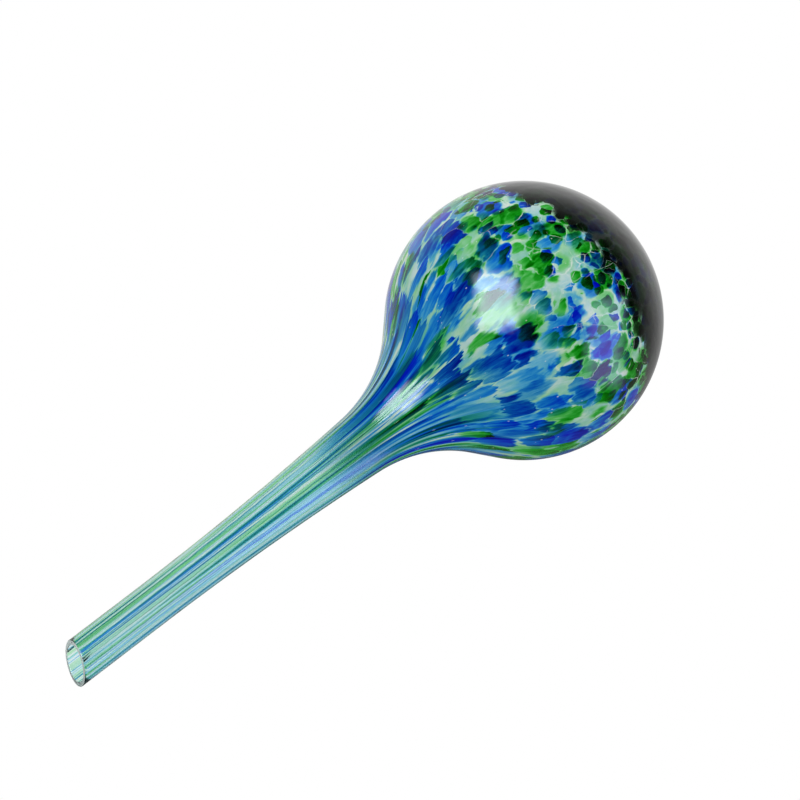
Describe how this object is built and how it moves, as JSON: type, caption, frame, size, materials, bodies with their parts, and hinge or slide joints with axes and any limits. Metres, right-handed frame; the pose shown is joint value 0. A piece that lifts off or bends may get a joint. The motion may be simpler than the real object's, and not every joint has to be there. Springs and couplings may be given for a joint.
{
  "type": "watering globe",
  "caption": "Hand-blown glass watering globe: a round speckled bulb drawn out into a long open stem that is pushed into potting soil and lets its water out slowly.",
  "frame": {"origin": "on the stem's axis, level with the lowest point of the slanted tip", "axes": "+Z along the axis from the stem's tip to the crown of the bulb; +X towards the longest side of the slanted mouth"},
  "size_m": [0.074, 0.074, 0.191],
  "materials": {
    "clear_glass": "fire-polished clear soda-lime glass",
    "smoke_glass": "fire-polished smoke-grey glass",
    "blue_glass": "melted-in cobalt blue frit",
    "green_glass": "melted-in emerald green frit",
    "teal_glass": "melted-in blue over green frit",
    "opal_glass": "pale translucent opal glass"
  },
  "bodies": {
    "root": {"stem_casing": "clear_glass", "bulb_casing": "clear_glass", "inner_bubble": "clear_glass", "crown_cap": "smoke_glass", "blue_frit": "blue_glass", "green_frit": "green_glass", "teal_frit": "teal_glass", "opal_ground": "opal_glass", "blue_streaks": "blue_glass", "green_streaks": "green_glass", "opal_streaks": "opal_glass"}
  },
  "joints": []
}
